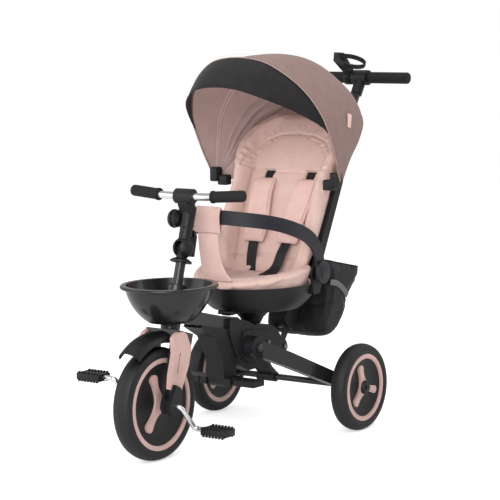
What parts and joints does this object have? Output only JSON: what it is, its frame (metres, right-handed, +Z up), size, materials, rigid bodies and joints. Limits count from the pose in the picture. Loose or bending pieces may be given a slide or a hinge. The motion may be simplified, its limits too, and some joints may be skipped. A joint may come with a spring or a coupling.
{
  "type": "folding push tricycle",
  "caption": "Child's push tricycle with a folding frame and stem, padded swivel seat under a folding sun canopy, safety bumper, toy bowl, pedals on the front wheel and a sliding push handle.",
  "frame": {"origin": "on the floor under the middle of the overall length and width", "axes": "+Z up; the front wheel is towards -Y; the rider's left is +X"},
  "size_m": [0.492, 1.0557, 0.9394],
  "materials": {
    "tyre": "satin",
    "pink_plastic": "gloss",
    "dark_plastic": "matte",
    "dark_paint": "satin",
    "bright_metal": "polished",
    "steel": "satin",
    "grip_rubber": "matte",
    "pink_fabric": "matte",
    "taupe_fabric": "matte",
    "black_fabric": "matte"
  },
  "bodies": {
    "frame": {"head_tube": "dark_paint", "head_bearings": "dark_plastic", "front_bowl": "dark_plastic", "main_beam": "dark_paint", "hub_housing": "dark_plastic", "hub_side_plates": "dark_plastic", "hub_bolts": "steel", "footrest_bracket": "dark_plastic"},
    "steering": {"fork": "dark_paint", "fork_covers": "pink_plastic", "hub_covers": "dark_plastic", "front_mudguard": "dark_plastic", "steering_tube": "dark_paint", "stem_knuckle": "dark_plastic"},
    "front_wheel": {"front_tyre": "tyre", "front_rim": "pink_plastic", "front_discs": "dark_plastic"},
    "crank_set": {"crank": "bright_metal"},
    "left_pedal": {"pedal_left": "dark_plastic"},
    "right_pedal": {"pedal_right": "dark_plastic"},
    "stem": {"handlebar_stem": "dark_plastic", "handlebar": "bright_metal", "grip_left": "grip_rubber", "grip_right": "grip_rubber", "bell_base": "dark_plastic"},
    "bell": {"bell_dome": "bright_metal"},
    "stem_latch": {"stem_lever": "bright_metal"},
    "left_peg": {"foot_peg_left": "dark_plastic"},
    "right_peg": {"foot_peg_right": "dark_plastic"},
    "rear_legs": {"leg_left": "dark_paint", "leg_right": "dark_paint", "axle_tube": "dark_paint", "axle_rod": "steel"},
    "brake": {"brake_lever": "dark_plastic"},
    "left_wheel": {"rear_tyre_left": "tyre", "rear_rim_left": "pink_plastic", "rear_discs_left": "dark_plastic"},
    "right_wheel": {"rear_tyre_right": "tyre", "rear_rim_right": "pink_plastic", "rear_discs_right": "dark_plastic"},
    "seat": {"swivel_cone": "dark_plastic", "seat_shell": "dark_plastic", "seat_cushion": "pink_fabric"},
    "swivel_latch": {"swivel_lever": "dark_plastic"},
    "backrest": {"back_frame": "dark_plastic", "back_cushion": "pink_fabric", "harness": "black_fabric", "canopy_hubs": "dark_plastic", "rear_hood": "taupe_fabric"},
    "hood": {"front_hood": "taupe_fabric", "sun_visor": "taupe_fabric"},
    "bumper": {"safety_ring": "dark_plastic", "ring_sleeve": "pink_fabric"},
    "handle": {"handle_bracket": "dark_plastic", "push_tube_lower": "dark_paint", "storage_bag": "black_fabric"},
    "push_bar": {"push_tube_upper": "dark_paint", "t_bar_hub": "dark_plastic", "push_grip": "grip_rubber"},
    "cup": {"cup_holder": "dark_plastic"}
  },
  "joints": [
    {"name": "steer", "type": "hinge", "parent": "frame", "child": "steering", "pos_m": [0, -0.334, 0.302], "axis": [0, 0.2857, 0.9583], "range_deg": [-40, 40]},
    {"name": "front_wheel_spin", "type": "hinge", "parent": "steering", "child": "front_wheel", "pos_m": [0, -0.396, 0.133], "axis": [1, 0, 0], "continuous": true},
    {"name": "crank_spin", "type": "hinge", "parent": "steering", "child": "crank_set", "pos_m": [0, -0.396, 0.133], "axis": [1, 0, 0], "continuous": true},
    {"name": "left_pedal_spin", "type": "hinge", "parent": "crank_set", "child": "left_pedal", "pos_m": [0.155, -0.361, 0.078], "axis": [1, 0, 0], "continuous": true},
    {"name": "right_pedal_spin", "type": "hinge", "parent": "crank_set", "child": "right_pedal", "pos_m": [-0.155, -0.431, 0.188], "axis": [1, 0, 0], "continuous": true},
    {"name": "handlebar_fold", "type": "hinge", "parent": "steering", "child": "stem", "pos_m": [0, -0.27943, 0.48504], "axis": [1, 0, 0], "range_deg": [0, 90]},
    {"name": "stem_lever_lift", "type": "hinge", "parent": "stem", "child": "stem_latch", "pos_m": [0, -0.24625, 0.51584], "axis": [1, 0, 0], "range_deg": [0, 50]},
    {"name": "bell_ring", "type": "hinge", "parent": "stem", "child": "bell", "pos_m": [-0.036, -0.26796, 0.55153], "axis": [1, 0, 0], "range_deg": [-30, 30], "stiffness_Nm_per_rad": 0.05},
    {"name": "left_peg_fold", "type": "hinge", "parent": "frame", "child": "left_peg", "pos_m": [0.036, -0.135, 0.148], "axis": [0, -1, 0], "range_deg": [0, 70]},
    {"name": "right_peg_fold", "type": "hinge", "parent": "frame", "child": "right_peg", "pos_m": [-0.036, -0.135, 0.148], "axis": [0, 1, 0], "range_deg": [0, 70]},
    {"name": "frame_fold", "type": "hinge", "parent": "frame", "child": "rear_legs", "pos_m": [0, -0.062, 0.222], "axis": [-1, 0, 0], "range_deg": [0, 70]},
    {"name": "brake_press", "type": "hinge", "parent": "rear_legs", "child": "brake", "pos_m": [-0.055, 0.143, 0.108], "axis": [1, 0, 0], "range_deg": [0, 25]},
    {"name": "left_wheel_spin", "type": "hinge", "parent": "rear_legs", "child": "left_wheel", "pos_m": [0.22, 0.143, 0.108], "axis": [1, 0, 0], "continuous": true},
    {"name": "right_wheel_spin", "type": "hinge", "parent": "rear_legs", "child": "right_wheel", "pos_m": [-0.22, 0.143, 0.108], "axis": [1, 0, 0], "continuous": true},
    {"name": "seat_swivel", "type": "hinge", "parent": "frame", "child": "seat", "pos_m": [0, -0.005, 0.26], "axis": [0, 0, 1], "range_deg": [0, 180]},
    {"name": "swivel_release", "type": "slide", "parent": "seat", "child": "swivel_latch", "axis": [0, -1, 0], "range_m": [0, 0.008], "stiffness_N_per_m": 60},
    {"name": "backrest_recline", "type": "hinge", "parent": "seat", "child": "backrest", "pos_m": [0, 0.062, 0.392], "axis": [-1, 0, 0], "range_deg": [0, 9]},
    {"name": "hood_fold", "type": "hinge", "parent": "backrest", "child": "hood", "pos_m": [0, 0.108, 0.608], "axis": [-1, 0, 0], "range_deg": [0, 34]},
    {"name": "bumper_lift", "type": "hinge", "parent": "seat", "child": "bumper", "pos_m": [0, 0.062, 0.392], "axis": [-1, 0, 0], "range_deg": [0, 35]},
    {"name": "handle_fold", "type": "hinge", "parent": "frame", "child": "handle", "pos_m": [0, 0.095, 0.199], "axis": [-1, 0, 0], "range_deg": [0, 58]},
    {"name": "handle_height", "type": "slide", "parent": "handle", "child": "push_bar", "axis": [0, 0.5299, 0.848], "range_m": [-0.1, 0]},
    {"name": "cup_tilt", "type": "hinge", "parent": "push_bar", "child": "cup", "pos_m": [0, 0.50675, 0.85793], "axis": [1, 0, 0], "range_deg": [-20, 20]}
  ],
  "couplings": [
    {"joint": "crank_spin", "follows": "front_wheel_spin", "ratio": 1},
    {"joint": "handle_fold", "follows": "frame_fold", "ratio": 0.8286}
  ]
}
